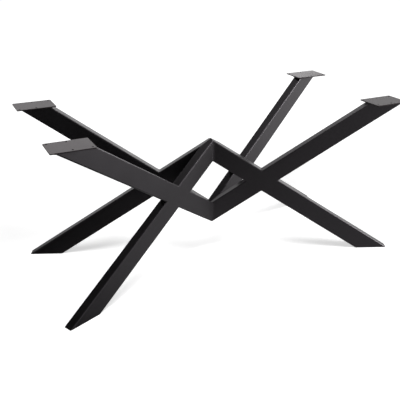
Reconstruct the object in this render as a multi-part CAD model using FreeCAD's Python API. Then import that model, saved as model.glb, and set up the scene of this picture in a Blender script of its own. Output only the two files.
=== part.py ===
import FreeCAD, Part
import math
import os

from FreeCAD import Vector

os.makedirs("parts", exist_ok=True)

# Table base of four equal arms. Each arm is a vertical X of two flat steel tubes: a foot bar that falls from
# the upper hub to the floor, and a plate bar that rises from the lower hub to a mounting plate.
# Millimetres, +Z up. The origin is on the floor under the middle of both hubs, and +X runs along the table.
# The arm with +X and +Y is modelled once and mirrored, so each size below serves all four arms.

# Base
overall_height = 700.0
arm_angle = 23.3  # from the long axis, in plan

# Tube, standing on its narrow side
bar_width = 80.0
bar_thickness = 40.0
bar_wall = 2.0
bar_corner_radius = 4.0

# Foot bar
upper_hub_height = 543.7  # top of the foot bars, on the central axis
foot_bar_slope = 33.23  # degrees below the horizontal

# Plate bar
lower_hub_height = 145.0  # underside of the plate bars, on the central axis
plate_bar_slope = 34.0  # degrees above the horizontal

# Mounting plate
plate_thickness = 4.0
plate_corner_radius = 4.0
plate_margin_x_in = 11.0  # from the bar's cut end to the plate's edge, toward the middle of the base
plate_margin_x_out = 4.5  # and away from the middle
plate_margin_y_in = 20.0
plate_margin_y_out = 6.0
screw_hole_diameter = 8.0
screw_hole_inset = 12.0  # from the plate's edges to the hole's middle

# Plate that closes the foot bar's lower end
end_plate_thickness = 3.0
end_plate_clearance = 0.1

# Welds
plate_weld_leg = 4.0
plate_weld_toe = 0.5  # thickness of the bead where it runs out on the tube
crossing_weld_leg = 3.0
hub_wide_weld_leg = 7.0  # along each wall, in the open front and back corners of the hubs
hub_narrow_weld_leg = 4.0  # along each wall, in the sharp left and right corners

# Derived from the sizes above
plate_underside = overall_height - plate_thickness
bore_width = bar_width - 2 * bar_wall
bore_thickness = bar_thickness - 2 * bar_wall
bore_corner_radius = max(bar_corner_radius - bar_wall, 0.4 * bar_wall)
foot_rad = math.radians(foot_bar_slope)
plate_rad = math.radians(plate_bar_slope)
arm_rad = math.radians(arm_angle)
reach = 2 * max(upper_hub_height / math.tan(foot_rad), overall_height / math.tan(plate_rad))
overrun = 2 * (bar_width + bar_thickness)

# Middle line of each bar in the arm's own plane: height on the central axis, and unit direction outward
foot_axis_height = upper_hub_height - bar_width / 2 / math.cos(foot_rad)
plate_axis_height = lower_hub_height + bar_width / 2 / math.cos(plate_rad)
foot_direction = Vector(math.cos(foot_rad), 0, -math.sin(foot_rad))
plate_direction = Vector(math.cos(plate_rad), 0, math.sin(plate_rad))


def rounded_rectangle(length, width, radius):
    """Face in the XY plane, centred on the origin, with round corners."""
    x = length / 2
    y = width / 2
    corners = [(x, y, 0), (-x, y, 90), (-x, -y, 180), (x, -y, 270)]
    edges = []
    ends = []
    for cx, cy, start in corners:
        middle = Vector(cx - math.copysign(radius, cx), cy - math.copysign(radius, cy), 0)
        arc = Part.makeCircle(radius, middle, Vector(0, 0, 1), start, start + 90)
        edges.append(arc)
        ends.append((arc.valueAt(arc.FirstParameter), arc.valueAt(arc.LastParameter)))
    sides = [Part.makeLine(ends[i][1], ends[(i + 1) % 4][0]) for i in range(4)]
    loop = [edge for pair in zip(edges, sides) for edge in pair]
    return Part.Face(Part.Wire(loop))


def in_arm(shape):
    """Turns a shape from the arm's own XZ plane to the arm's place in plan."""
    turned = shape.copy()
    turned.rotate(Vector(0, 0, 0), Vector(0, 0, 1), arm_angle)
    return turned


def bar_prism(axis_height, direction, width, thickness, radius):
    """Long solid bar of the given section about a middle line in the arm's plane."""
    if radius > 0:
        face = rounded_rectangle(width, thickness, radius)
    else:
        face = Part.Face(Part.makePolygon([
            Vector(width / 2, thickness / 2, 0),
            Vector(-width / 2, thickness / 2, 0),
            Vector(-width / 2, -thickness / 2, 0),
            Vector(width / 2, -thickness / 2, 0),
            Vector(width / 2, thickness / 2, 0),
        ]))
    start = Vector(0, 0, axis_height) - direction * overrun
    across = Vector(0, 1, 0)
    up = across.cross(direction)
    turn = FreeCAD.Rotation(-up, across, direction, "ZXY")
    face.Placement = FreeCAD.Placement(start, turn)
    return in_arm(face.extrude(direction * (reach + 2 * overrun)))


def foot_prism(grow=0.0, radius=bar_corner_radius):
    """Foot bar's outline; a negative growth gives a smaller one."""
    width = bar_width + 2 * grow
    return bar_prism(foot_axis_height, foot_direction, width, bar_thickness + 2 * grow, radius)


def plate_prism(grow=0.0, radius=bar_corner_radius):
    """Plate bar's outline, grown by the given amount all round."""
    width = bar_width + 2 * grow
    return bar_prism(plate_axis_height, plate_direction, width, bar_thickness + 2 * grow, radius)


def half_space(point, normal):
    """Large block on the side of a plane that the normal points away from."""
    size = 4 * reach
    block = Part.makeBox(size, size, size, Vector(-size / 2, -size / 2, -size))
    turn = FreeCAD.Rotation(Vector(0, 0, 1), normal)
    block.Placement = FreeCAD.Placement(point, turn)
    return block


def slab(low, high):
    """Level layer between two heights, in the quarter that holds this arm."""
    return Part.makeBox(2 * reach, 2 * reach, high - low, Vector(0, 0, low))


def tube(prism, bore):
    """Hollow bar in this arm's quarter: it meets the neighbours on two mitre planes."""
    return prism.cut(bore).common(slab(0, plate_underside))


def square_to(direction):
    """Upward unit vector in the arm's plane, square to a bar."""
    return Vector(0, -1, 0).cross(direction)


def edge_point(axis_height, direction, side):
    """Point of a bar's upper (+1) or lower (-1) line on the central axis."""
    return Vector(0, 0, axis_height + side * bar_width / 2 / direction.x)


def above_plate_bar():
    """Space over the plate bar's upper narrow side."""
    point = edge_point(plate_axis_height, plate_direction, 1)
    return in_arm(half_space(point, -square_to(plate_direction)))


def below_plate_bar():
    """Space under the plate bar's lower narrow side."""
    point = edge_point(plate_axis_height, plate_direction, -1)
    return in_arm(half_space(point, square_to(plate_direction)))


def single(shape):
    """The one solid of a boolean result."""
    solids = shape.Solids
    if len(solids) != 1:
        raise ValueError("expected one solid, found %d" % len(solids))
    return solids[0]


def plate_outline():
    """Mounting plate without its holes, in its place."""
    face = rounded_rectangle(plate_length, plate_width, plate_corner_radius)
    face.translate(Vector(plate_x, plate_y, 0))
    return face


def mounting_plate():
    """Flat plate with two holes at mid-length and two in the corners beside the bar."""
    plate = plate_outline().extrude(Vector(0, 0, plate_thickness))
    hole_x = plate_length / 2 - screw_hole_inset
    hole_y = plate_width / 2 - screw_hole_inset
    for x, y in [(0, hole_y), (0, -hole_y), (hole_x, -hole_y), (-hole_x, hole_y)]:
        middle = Vector(plate_x + x, plate_y + y, 0)
        plate = plate.cut(Part.makeCylinder(screw_hole_diameter / 2, plate_thickness, middle))
    plate.translate(Vector(0, 0, plate_underside))
    return single(plate)


def plate_weld():
    """Fillet bead round the plate bar's end, under the mounting plate and no wider than it."""
    level = Vector(0, 0, 1)
    top_wire = plate_prism(plate_weld_leg, 0).slice(level, plate_underside)[0]
    low_wire = plate_prism(plate_weld_toe, 0).slice(level, plate_underside - plate_weld_leg)[0]
    bead = Part.makeLoft([low_wire, top_wire], True, True)
    under_plate = plate_outline().extrude(Vector(0, 0, overall_height))
    return single(bead.cut(plate_prism()).common(under_plate))


def groove_beads():
    """Metal, ground flush, between the foot bar's square ends and the plate bar's round edges."""
    grooves = plate_prism(radius=0).cut(plate_prism())
    return grooves.common(foot_prism()).common(slab(0, plate_underside))


def corner_bead(foot_side, plate_side):
    """Fillet bead across the bars, where a line of the foot bar meets a line of the plate bar.

    A side of +1 is a bar's upper line and -1 its lower line.
    """
    foot_point = edge_point(foot_axis_height, foot_direction, foot_side)
    plate_point = edge_point(plate_axis_height, plate_direction, plate_side)
    distance = (foot_point.z - plate_point.z) / (math.tan(plate_rad) + math.tan(foot_rad))
    corner = plate_point + plate_direction * (distance / plate_direction.x)
    corner.y = bar_corner_radius - bar_thickness / 2
    ends = [
        corner,
        corner + plate_direction * (foot_side * crossing_weld_leg),
        corner - foot_direction * (plate_side * crossing_weld_leg),
        corner,
    ]
    flat = Vector(0, bar_thickness - 2 * bar_corner_radius, 0)
    return in_arm(Part.Face(Part.makePolygon(ends)).extrude(flat))


def crossing_weld():
    """All beads that join the foot bar's two lengths to the plate bar."""
    beads = groove_beads().Solids
    beads += [corner_bead(foot_side, plate_side) for foot_side in (1, -1) for plate_side in (1, -1)]
    return Part.makeCompound(beads)


def hub_weld(leg, toward, axis_height, direction):
    """Half of a concave bead in a corner between two bars, on this arm's side of the mitre plane.

    toward is the direction of the mitre plane in plan: 90 for the open corners, 0 for the sharp ones.
    """
    mitre = math.radians(toward)
    half_angle = abs(mitre - arm_rad)
    out = Vector(math.cos(mitre), math.sin(mitre), 0)
    along = Vector(math.cos(arm_rad), math.sin(arm_rad), 0)
    corner = out * (bar_thickness / 2 / math.sin(half_angle))
    radius = leg * math.tan(half_angle)
    middle = corner + out * (leg / math.cos(half_angle))
    bead_end = corner + along * leg
    crown = middle - out * radius
    halfway = (bead_end + crown) * 0.5 - middle
    halfway = middle + halfway * (radius / halfway.Length)
    outline = Part.Wire([
        Part.makeLine(corner, bead_end),
        Part.Arc(bead_end, halfway, crown).toShape(),
        Part.makeLine(crown, corner),
    ])
    post = Part.Face(outline).extrude(Vector(0, 0, overall_height))
    # The bead runs over the flat of the wall, between the tube's round edges.
    flat = bar_prism(axis_height, direction, bar_width - 2 * bar_corner_radius, 4 * bar_thickness, 0)
    return single(post.common(flat))


def mirrored(shape, flip_x, flip_y):
    """Copy of a shape in another quarter."""
    result = shape.copy()
    if flip_x:
        result = result.mirror(Vector(0, 0, 0), Vector(1, 0, 0))
    if flip_y:
        result = result.mirror(Vector(0, 0, 0), Vector(0, 1, 0))
    return result


def hub_welds(axis_height, direction):
    """The four beads of one hub: open corners at the front and back, sharp ones at the sides."""
    open_half = hub_weld(hub_wide_weld_leg, 90, axis_height, direction)
    sharp_half = hub_weld(hub_narrow_weld_leg, 0, axis_height, direction)
    back = single(open_half.fuse(mirrored(open_half, True, False)).removeSplitter())
    right = single(sharp_half.fuse(mirrored(sharp_half, False, True)).removeSplitter())
    beads = [back, mirrored(back, False, True), right, mirrored(right, True, False)]
    return Part.makeCompound(beads)


# Bars of the arm with +X and +Y
plate_tube = tube(plate_prism(), plate_prism(-bar_wall, bore_corner_radius))
foot_tube = tube(foot_prism(), foot_prism(-bar_wall, bore_corner_radius))

# Plate that the bar carries, laid out round the bar's cut end
bar_end = plate_prism().slice(Vector(0, 0, 1), plate_underside)[0].optimalBoundingBox()
plate_length = bar_end.XLength + plate_margin_x_in + plate_margin_x_out
plate_width = bar_end.YLength + plate_margin_y_in + plate_margin_y_out
plate_x = bar_end.Center.x + (plate_margin_x_out - plate_margin_x_in) / 2
plate_y = bar_end.Center.y + (plate_margin_y_out - plate_margin_y_in) / 2

# The foot bar ends square on both narrow sides of the plate bar
foot_bore = foot_prism(-bar_wall - end_plate_clearance, bore_corner_radius)
arm_pieces = {
    "plate_bar": single(plate_tube),
    "foot_bar_upper": single(foot_tube.common(above_plate_bar())),
    "foot_bar_lower": single(foot_tube.common(below_plate_bar())),
    "mounting_plate": mounting_plate(),
    "foot_end_plate": single(foot_bore.common(slab(0, end_plate_thickness))),
    "plate_weld": plate_weld(),
    "crossing_weld": crossing_weld(),
}
arms = {
    "back_right": (False, False),
    "back_left": (True, False),
    "front_right": (False, True),
    "front_left": (True, True),
}

nodes = {
    "upper_hub_welds": hub_welds(foot_axis_height, foot_direction),
    "lower_hub_welds": hub_welds(plate_axis_height, plate_direction),
}
for arm, (flip_x, flip_y) in arms.items():
    for piece, shape in arm_pieces.items():
        nodes[arm + "_" + piece] = mirrored(shape, flip_x, flip_y)

for node, shape in nodes.items():
    if not shape.isValid():
        raise ValueError("invalid shape: " + node)
    shape.exportStep("parts/" + node + ".step")

box = Part.makeCompound(list(nodes.values())).BoundBox
print("nodes", len(nodes))
print("size", round(box.XLength, 1), round(box.YLength, 1), round(box.ZLength, 1))
print("mounting plate", round(plate_length, 2), round(plate_width, 2), "centre", round(plate_x, 2), round(plate_y, 2))
for piece, shape in arm_pieces.items():
    print(piece, len(shape.Solids), "solids", round(shape.Volume / 1000, 2), "cm3")
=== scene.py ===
# %% [markdown]
# An X shaped table base in matt black powder coat
# Four flat steel bars fall from an upper hub to the floor, and four rise from a lower hub to the plates
# that carry a table top. Every bar, plate and weld bead is a solid of the CAD frame, so nothing is modelled
# again here. This lesson gives the solids their finish, and adds a studio and a camera.

# %% The frame
import math

import bpy
from mathutils import Matrix, Vector

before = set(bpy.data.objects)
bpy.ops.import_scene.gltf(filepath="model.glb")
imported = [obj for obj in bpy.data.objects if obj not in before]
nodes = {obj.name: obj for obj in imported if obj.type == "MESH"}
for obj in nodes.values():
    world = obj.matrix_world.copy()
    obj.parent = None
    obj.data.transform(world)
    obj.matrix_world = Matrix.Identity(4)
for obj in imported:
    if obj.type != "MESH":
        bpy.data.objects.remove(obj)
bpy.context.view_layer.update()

# %% [markdown]

# %% [markdown]
# A product photo like this one is taken from a little above, with a short telephoto lens. A constraint
# could aim the camera at a point, but its place and its two angles say the same with less. Its axes are
# worked out from the angles and written straight into its matrix.

# %% Camera
CAMERA_PLACE = Vector((-1.1230, -2.2271, 1.3678))
CAMERA_YAW = math.radians(25.677)  # turned from +Y towards +X
CAMERA_PITCH = math.radians(24.153)  # below the horizon
CAMERA_LENS = 54.317  # mm
SENSOR_WIDTH = 36  # mm


def level_camera_axes(yaw, pitch):
    """Right, up and forward directions of a camera without roll."""
    forward = Vector((math.sin(yaw) * math.cos(pitch), math.cos(yaw) * math.cos(pitch), -math.sin(pitch)))
    right = Vector((math.cos(yaw), -math.sin(yaw), 0))
    return right, right.cross(forward), forward


camera_data = bpy.data.cameras.new("camera")
camera_data.lens = CAMERA_LENS
camera_data.sensor_width = SENSOR_WIDTH
camera = bpy.data.objects.new("camera", camera_data)
bpy.context.scene.collection.objects.link(camera)
right, up, forward = level_camera_axes(CAMERA_YAW, CAMERA_PITCH)
turn = Matrix((right, up, -forward)).transposed().to_4x4()
camera.matrix_world = Matrix.Translation(CAMERA_PLACE) @ turn
bpy.context.scene.camera = camera
print("camera looks along", [round(v, 3) for v in forward])

# %% [markdown]
# Materials are built from nodes. They could be written out one by one, but a few small helpers keep that
# short: one adds a node and sets its values, one links two sockets, and three make the nodes that are used
# most, for sums, for ramps and for mixing colours.

# %% Node helpers
WHITE = (1, 1, 1, 1)
BLACK = (0, 0, 0, 1)


def add_node(tree, kind, values=None, **settings):
    """Adds a node, sets its properties, and sets unlinked inputs by name or number."""
    node = tree.nodes.new(kind)
    for name, value in settings.items():
        setattr(node, name, value)
    for name, value in (values or {}).items():
        node.inputs[name].default_value = value
    return node


def link(tree, source, target):
    """Joins an output socket to an input socket."""
    tree.links.new(source, target)


def math_node(tree, operation, first, second):
    """A Math node; each operand is a socket or a number."""
    node = add_node(tree, "ShaderNodeMath", operation=operation)
    for socket, operand in zip(node.inputs, (first, second)):
        if isinstance(operand, (int, float)):
            socket.default_value = operand
        else:
            link(tree, operand, socket)
    return node.outputs[0]


def map_range(tree, value, low, high, new_low, new_high, smooth=True):
    """A Map Range node, clamped, with a soft or a straight ramp."""
    node = add_node(tree, "ShaderNodeMapRange", interpolation_type="SMOOTHSTEP" if smooth else "LINEAR")
    link(tree, value, node.inputs["Value"])
    for name, number in zip(("From Min", "From Max", "To Min", "To Max"), (low, high, new_low, new_high)):
        node.inputs[name].default_value = number
    return node.outputs["Result"]


def mix_colour(tree, factor, first, second):
    """A Mix node for colours: the first where the factor is 0, the second where it is 1."""
    node = add_node(tree, "ShaderNodeMix", {"A": first, "B": second}, data_type="RGBA")
    link(tree, factor, node.inputs["Factor"])
    return node.outputs["Result"]


print("helpers", [helper.__name__ for helper in (add_node, link, math_node, map_range, mix_colour)])

# %% [markdown]
# Powder coat is paint that is sprayed on dry and baked. It flows a little, so it has a soft waviness called
# orange peel, and on top of that a fine grain. Each material could have its own noise, but the bars, the
# plates and the welds all wear the same coat. So one node group holds it, and each material gives it
# slightly different values. Its height is in metres, so that the depths stay believable: the grain is about
# a hundredth of a millimetre deep. The welds add the overlapping drops of a bead.

# %% Powder grain group
GRAIN_SIZE = 0.0012  # metres, as all four sizes are
PEEL_SIZE = 0.007
CLOUD_SIZE = 0.11
DROP_SIZE = 0.0035
FINE = 1.0  # detail of the grain and of the orange peel
CLOUDY = 3.0  # detail of the large, soft clouds
NOISE_MIDDLE = 0.5  # the value that noise swings about
SPECKS = 0.08  # how much of the grain shows in the roughness


def powder_grain_group():
    """Height in metres, roughness and a cloudy mask of a baked powder coat, from object coordinates."""
    group = bpy.data.node_groups.new("powder_grain", "ShaderNodeTree")
    for name in ("Grain Depth", "Peel Depth", "Ripple Depth", "Roughness", "Unevenness"):
        group.interface.new_socket(name, in_out="INPUT", socket_type="NodeSocketFloat")
    for name in ("Height", "Roughness", "Cloud"):
        group.interface.new_socket(name, in_out="OUTPUT", socket_type="NodeSocketFloat")
    inside = add_node(group, "NodeGroupInput").outputs
    outside = add_node(group, "NodeGroupOutput").inputs
    place = add_node(group, "ShaderNodeTexCoord").outputs["Object"]

    def noise(size, detail):
        texture = add_node(group, "ShaderNodeTexNoise", {"Scale": 1 / size, "Detail": detail})
        link(group, place, texture.inputs["Vector"])
        return texture.outputs["Fac"]

    def swing(layer, amount):
        return math_node(group, "MULTIPLY", math_node(group, "SUBTRACT", layer, NOISE_MIDDLE), amount)

    grain = noise(GRAIN_SIZE, FINE)
    peel = noise(PEEL_SIZE, FINE)
    cloud = noise(CLOUD_SIZE, CLOUDY)
    drops = add_node(group, "ShaderNodeTexVoronoi", {"Scale": 1 / DROP_SIZE}, feature="SMOOTH_F1")
    link(group, place, drops.inputs["Vector"])
    ripple = math_node(group, "SUBTRACT", 1.0, drops.outputs["Distance"])
    height = math_node(group, "MULTIPLY", ripple, inside["Ripple Depth"])
    for layer, depth in ((grain, "Grain Depth"), (peel, "Peel Depth")):
        height = math_node(group, "ADD", height, math_node(group, "MULTIPLY", layer, inside[depth]))
    uneven = math_node(group, "ADD", swing(cloud, inside["Unevenness"]), swing(grain, SPECKS))
    link(group, height, outside["Height"])
    link(group, math_node(group, "ADD", inside["Roughness"], uneven), outside["Roughness"])
    link(group, cloud, outside["Cloud"])
    return group


powder_grain = powder_grain_group()
print("group", powder_grain.name, [item.name for item in powder_grain.interface.items_tree])

# %% [markdown]
# One Principled shader is enough for powder coat: an almost black colour under a plain gloss. A coat layer
# on top could give the same shine, but powder is one layer of paint, and a single gloss is easier to match.
# The noise moves the roughness a little from place to place, because sprayed powder never lies quite
# evenly. The plates are slightly rougher and glossier, with a warmer sheen, and the welds have their
# ripple.

# %% Powder coat material
COAT_COLOUR = (0.0085, 0.0081, 0.0086, 1)
COAT_LIGHTER = (0.0110, 0.0105, 0.0112, 1)  # in the clouds
COAT_IOR = 1.55
BAR_GLOSS = 0.50
PLATE_GLOSS = 0.57
BAR_SHEEN = (1.0, 0.92, 1.0, 1)
PLATE_SHEEN = (1.0, 0.80, 0.88, 1)
BAR_SURFACE = {
    "Grain Depth": 0.000010,
    "Peel Depth": 0.000030,
    "Ripple Depth": 0,
    "Roughness": 0.36,
    "Unevenness": 0.12,
}
PLATE_SURFACE = {
    "Grain Depth": 0.000012,
    "Peel Depth": 0.000040,
    "Ripple Depth": 0,
    "Roughness": 0.38,
    "Unevenness": 0.08,
}
WELD_SURFACE = {
    "Grain Depth": 0.000010,
    "Peel Depth": 0.000060,
    "Ripple Depth": 0.0012,
    "Roughness": 0.34,
    "Unevenness": 0.12,
}


def powder_coat(name, surface, gloss, sheen):
    """Black powder coat, from the grain group's values, the gloss and the colour of its sheen."""
    material = bpy.data.materials.new(name)
    material.use_nodes = True
    tree = material.node_tree
    shader = tree.nodes["Principled BSDF"]
    grain = add_node(tree, "ShaderNodeGroup", surface, node_tree=powder_grain)
    bump = add_node(tree, "ShaderNodeBump", {"Strength": 1.0, "Distance": 1.0})
    link(tree, grain.outputs["Height"], bump.inputs["Height"])
    colour = mix_colour(tree, grain.outputs["Cloud"], COAT_COLOUR, COAT_LIGHTER)
    link(tree, colour, shader.inputs["Base Color"])
    link(tree, grain.outputs["Roughness"], shader.inputs["Roughness"])
    link(tree, bump.outputs["Normal"], shader.inputs["Normal"])
    shader.inputs["IOR"].default_value = COAT_IOR
    shader.inputs["Specular IOR Level"].default_value = gloss
    shader.inputs["Specular Tint"].default_value = sheen
    return material


coat_on_bars = powder_coat("powder_coat_bars", BAR_SURFACE, BAR_GLOSS, BAR_SHEEN)
coat_on_plates = powder_coat("powder_coat_plates", PLATE_SURFACE, PLATE_GLOSS, PLATE_SHEEN)
coat_on_welds = powder_coat("powder_coat_welds", WELD_SURFACE, BAR_GLOSS, BAR_SHEEN)
print("materials", [coat.name for coat in (coat_on_bars, coat_on_plates, coat_on_welds)])

# %% [markdown]
# The whole base is coated after it is welded, so every piece wears the powder. A node's name tells which
# version suits it. The beads at the crossings are ground flush, so they are finished like the bars.

# %% Coating the base


def dress(node_name):
    """Gives a CAD node the coat that suits it."""
    material = coat_on_bars
    if "plate_weld" in node_name or "hub" in node_name:
        material = coat_on_welds
    elif node_name.endswith("mounting_plate"):
        material = coat_on_plates
    for slot in nodes[node_name].material_slots:
        slot.material = material


for node_name in nodes:
    dress(node_name)
print("dressed", len(nodes), "nodes")

# %% [markdown]
# The object stands on a white paper floor. A shadow catcher could hold the shadows, but real paper is also
# mirrored in the coat. What the camera sees of it is the sum of a plain glow and of diffuse paper, which
# carries the shadows. Both together are just over white, so that faint shadows vanish as they do in a
# bright product photo. Three soft pools of painted light, extra glow, thin the shadows below the middle,
# and farther out the glow grows until the paper is plain white.

# %% Pools of light
CAMERA_GLOW = 0.60  # plain white that the camera sees on the paper, before the diffuse paper is added
SHADOWS_TO = (1.2, 2.2)  # metres from the middle: where the glow starts to grow and where it is plain white
# painted light: extra glow for the camera that thins the cast shadows in these places
SEEN_POOLS = (  # middle, reach and strength of each pool
    ((-0.15, -0.15, 0.0), (0.80, 0.45, 1.0), 0.27),
    ((0.26, 0.18, 0.0), (0.74, 0.42, 1.0), 0.26),
    ((0.58, 0.24, 0.0), (0.42, 0.26, 1.0), 0.05),
)


def length_of(tree, vector):
    """The length of a vector socket."""
    node = add_node(tree, "ShaderNodeVectorMath", operation="LENGTH")
    link(tree, vector, node.inputs[0])
    return node.outputs["Value"]


def pool_of_light(tree, place, middle, reach, strength):
    """Full strength in the middle of an ellipse, and none from its edge on."""
    away = add_node(tree, "ShaderNodeVectorMath", {1: middle}, operation="SUBTRACT")
    share = add_node(tree, "ShaderNodeVectorMath", {1: reach}, operation="DIVIDE")
    link(tree, place, away.inputs[0])
    link(tree, away.outputs[0], share.inputs[0])
    return map_range(tree, length_of(tree, share.outputs[0]), 0.0, 1.0, strength, 0.0)


def glow_for_camera(tree, place):
    """What the camera sees on the paper besides the diffuse light."""
    glow = map_range(tree, length_of(tree, place), *SHADOWS_TO, CAMERA_GLOW, 1.0)
    for pool in SEEN_POOLS:
        glow = math_node(tree, "ADD", glow, pool_of_light(tree, place, *pool))
    return glow


print("pools of light", len(SEEN_POOLS))

# %% [markdown]
# Black paint shows little but what it mirrors, so the paper that the coat mirrors is graded too. White
# and black boards could stand there to be mirrored, but the paper's own glow needs none. That glow is
# painted light: bright to the right, where two of the lamps stand, and painted dark to the left. Far behind
# the object and far to its left it is painted brighter again, so that the base can be read from there too.

# %% Mirrored paper
# painted light and painted shade: the mirrored paper's glow runs from black on the left to bright on the
# right
DARK_AT = -0.75  # metres to the right of the object's middle, where mirrored paper is black
BRIGHT_AT = 1.8  # and where it is at its brightest
BRIGHTEST = 0.72
RISE = 0.75  # below 1 it brightens quickly at first
# painted light as well: brighter paper far behind and far to the left, and a painted pool of light
BEHIND = (1.4, 2.4, 0.45)  # behind the object: where it starts, where it is full, its strength
TO_THE_LEFT = (-2.4, -3.4, 0.20)  # the same to its left
MIRRORED_POOL = ((-0.10, -0.30, 0.0), (0.75, 0.30, 1.0), 0.22)  # a pool of light, as above


def glow_in_mirrors(tree, place):
    """How bright the paper is where the coat mirrors it."""
    across = add_node(tree, "ShaderNodeSeparateXYZ")
    link(tree, place, across.inputs[0])
    rising = map_range(tree, across.outputs["X"], DARK_AT, BRIGHT_AT, 0.0, 1.0, smooth=False)
    glow = math_node(tree, "MULTIPLY", math_node(tree, "POWER", rising, RISE), BRIGHTEST)
    glow = math_node(tree, "ADD", glow, pool_of_light(tree, place, *MIRRORED_POOL))
    for axis, (start, full, strength) in (("Y", BEHIND), ("X", TO_THE_LEFT)):
        far_paper = map_range(tree, across.outputs[axis], start, full, 0.0, strength)
        glow = math_node(tree, "MAXIMUM", glow, far_paper)
    return glow


print("mirrored paper from", DARK_AT, "to", BRIGHT_AT, "m")

# %% [markdown]
# The paper itself is one large square. A curved backdrop would do as well, but in plain white its curve
# could not be seen. The kind of ray decides what the paper is: paper with a glow for the camera, only the
# graded glow for the coat's reflections, and plain paper for the light that bounces off it.

# %% Floor
FLOOR_SIZE = 30.0
FLOOR_GAP = 0.0003  # below the feet, so that the paper and their faces aren't in one plane
PAPER_COLOUR = (0.95, 0.95, 0.95, 1)


def paper_material():
    """Diffuse paper, and a glow whose strength depends on who looks at it."""
    material = bpy.data.materials.new("paper")
    material.use_nodes = True
    tree = material.node_tree
    tree.nodes.remove(tree.nodes["Principled BSDF"])
    place = add_node(tree, "ShaderNodeTexCoord").outputs["Object"]
    ray = add_node(tree, "ShaderNodeLightPath").outputs
    paper = add_node(tree, "ShaderNodeBsdfDiffuse")
    glow = add_node(tree, "ShaderNodeEmission", {"Color": WHITE})
    both = add_node(tree, "ShaderNodeAddShader")
    seen = math_node(tree, "MULTIPLY", ray["Is Camera Ray"], glow_for_camera(tree, place))
    mirrored = math_node(tree, "MULTIPLY", ray["Is Glossy Ray"], glow_in_mirrors(tree, place))
    strongest = math_node(tree, "MAXIMUM", seen, mirrored)
    link(tree, math_node(tree, "MAXIMUM", strongest, ray["Is Transmission Ray"]), glow.inputs["Strength"])
    link(tree, mix_colour(tree, ray["Is Glossy Ray"], PAPER_COLOUR, BLACK), paper.inputs["Color"])
    link(tree, paper.outputs[0], both.inputs[0])
    link(tree, glow.outputs[0], both.inputs[1])
    link(tree, both.outputs[0], tree.nodes["Material Output"].inputs["Surface"])
    return material


def paper_floor():
    """A level square of paper under the feet."""
    half = FLOOR_SIZE / 2
    corners = [(-half, -half, 0), (half, -half, 0), (half, half, 0), (-half, half, 0)]
    mesh = bpy.data.meshes.new("floor")
    mesh.from_pydata(corners, [], [(0, 1, 2, 3)])
    mesh.materials.append(paper_material())
    floor = bpy.data.objects.new("floor", mesh)
    floor.location.z = -FLOOR_GAP
    bpy.context.scene.collection.objects.link(floor)
    return floor


floor = paper_floor()
print("floor", FLOOR_SIZE, "m wide")

# %% [markdown]
# The world is what the coat mirrors beyond the paper: a room with walls. An image of a studio could be
# used, but a few ramps over the ray's direction say the same and need no file: a white wall, a dimmer
# ceiling, and a dark left side that makes the bars' left faces nearly black. The camera sees plain white,
# and only a trace of light falls on the paper.

# %% World
WORLD_LIGHT = 0.03  # on the paper and on the coat's own colour
WALL = 0.95  # mirrored wall, low all round
CEILING = 0.40
WALL_TOP = (0.3, 0.65)  # upward share of a direction: where the wall ends and where the ceiling is full
LEFT_SHARE = 0.05  # of both, to the left
LEFT_END = (-0.39, -0.15)  # rightward share: where the dark side ends and where it is fully bright
LOW_LEFT_SHARE = 0.60  # and far to the left near the horizon, where only side views mirror it
LOW_LEFT_TOP = (0.2, 0.45)  # upward share: where that patch fades and where it is gone
LOW_LEFT_END = (-0.75, -0.5)  # the same to the right


def studio_world():
    """White to the camera; in reflections a white wall, a dimmer ceiling, and less light from the left."""
    world = bpy.data.worlds.new("studio")
    world.use_nodes = True
    tree = world.node_tree
    background = tree.nodes["Background"]
    direction = add_node(tree, "ShaderNodeSeparateXYZ")
    link(tree, add_node(tree, "ShaderNodeTexCoord").outputs["Generated"], direction.inputs[0])
    upward = direction.outputs["Z"]
    rightward = direction.outputs["X"]
    room = map_range(tree, upward, *WALL_TOP, WALL, CEILING)
    side = map_range(tree, rightward, *LEFT_END, LEFT_SHARE, 1.0)
    low = map_range(tree, upward, *LOW_LEFT_TOP, LOW_LEFT_SHARE, 0.0)
    far_left = map_range(tree, rightward, *LOW_LEFT_END, 1.0, 0.0)
    side = math_node(tree, "MAXIMUM", side, math_node(tree, "MULTIPLY", low, far_left))
    ray = add_node(tree, "ShaderNodeLightPath").outputs
    seen = math_node(tree, "MAXIMUM", ray["Is Camera Ray"], ray["Is Transmission Ray"])
    mirrored = math_node(tree, "MULTIPLY", ray["Is Glossy Ray"], math_node(tree, "MULTIPLY", room, side))
    diffuse = math_node(tree, "MULTIPLY", ray["Is Diffuse Ray"], WORLD_LIGHT)
    strength = math_node(tree, "MAXIMUM", seen, math_node(tree, "MAXIMUM", mirrored, diffuse))
    link(tree, strength, background.inputs["Strength"])
    background.inputs["Color"].default_value = WHITE
    bpy.context.scene.world = world


studio_world()
print("world", WORLD_LIGHT, "wall", WALL, "ceiling", CEILING)

# %% [markdown]
# The lamps stand behind, to the right and above. A sun or a point could light the base as well, but a soft
# box is an area lamp, and its size sets how soft a shadow or a highlight is. The one right above is small,
# so that the shadows of the feet keep their shape.

# %% Lamps


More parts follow.
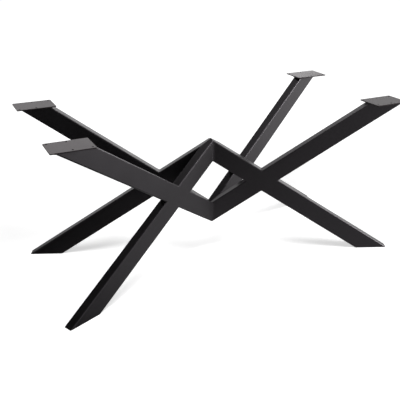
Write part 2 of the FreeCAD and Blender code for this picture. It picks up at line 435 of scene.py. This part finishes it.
def soft_box(name, place, facing, size, power):
    """A rectangular lamp that faces a point; places and sizes in metres, power in watts."""
    data = bpy.data.lights.new(name, "AREA")
    data.shape = "RECTANGLE"
    data.size, data.size_y = size
    data.energy = power
    lamp = bpy.data.objects.new(name, data)
    lamp.location = place
    lamp.rotation_euler = (Vector(facing) - Vector(place)).to_track_quat("-Z", "Y").to_euler()
    bpy.context.scene.collection.objects.link(lamp)
    return lamp


back_lamp = soft_box("back_lamp", (1.73, 3.4, 1.3), facing=(0, 0, 0.4), size=(2.3, 1.3), power=11)
side_lamp = soft_box("side_lamp", (5.0, -2.05, 1.8), facing=(0, 0, 0.35), size=(2.0, 2.0), power=310)
right_lamp = soft_box("right_lamp", (3.9, 2.4, 0.65), facing=(0.5, -0.2, 0.2), size=(2.4, 1.2), power=7.5)
top_lamp = soft_box("top_lamp", (0, -0.75, 3.0), facing=(0, 0, 0), size=(1.2, 1.2), power=72)
edge_lamp = soft_box("edge_lamp", (-0.1, -0.4, 2.9), facing=(0, 0, 0.4), size=(1.1, 1.1), power=36)
plate_lamp = soft_box("plate_lamp", (-0.2, 2.2, 1.75), facing=(-0.68, 0, 0.7), size=(0.8, 0.6), power=0.8)
edge_lamp.visible_diffuse = False  # it only draws highlights on the round edges

# %% [markdown]
# In a studio, black flags keep light off a piece. Light linking does the same without a flag that the coat
# would mirror: one lamp lights only the paper, one draws only the highlights on the round edges, and one
# lights only the two plates on the left.

# %% Light linking
SHADED = "front_right_plate_bar"  # a flag keeps the back lamp off it


def light_only(lamp, receivers):
    """Lets a lamp light the given objects and nothing else."""
    group = bpy.data.collections.new("lit_by_" + lamp.name)
    for receiver in receivers:
        group.objects.link(receiver)
    lamp.light_linking.receiver_collection = group


left_plates = [nodes[arm + "_mounting_plate"] for arm in ("front_left", "back_left")]
bars_and_welds = [node for name, node in nodes.items() if not name.endswith("mounting_plate")]
light_only(back_lamp, [floor] + [node for name, node in nodes.items() if name != SHADED])
light_only(plate_lamp, left_plates)
light_only(edge_lamp, nodes.values())
light_only(side_lamp, bars_and_welds)
light_only(right_lamp, nodes.values())
light_only(top_lamp, [floor])
print("plates in the plate lamp", len(left_plates), "pieces in the side lamp", len(bars_and_welds))

# %% [markdown]
# The Standard view shows white paper as white, where a filmic view would turn it grey.

# %% Colour management
bpy.context.scene.view_settings.view_transform = "Standard"
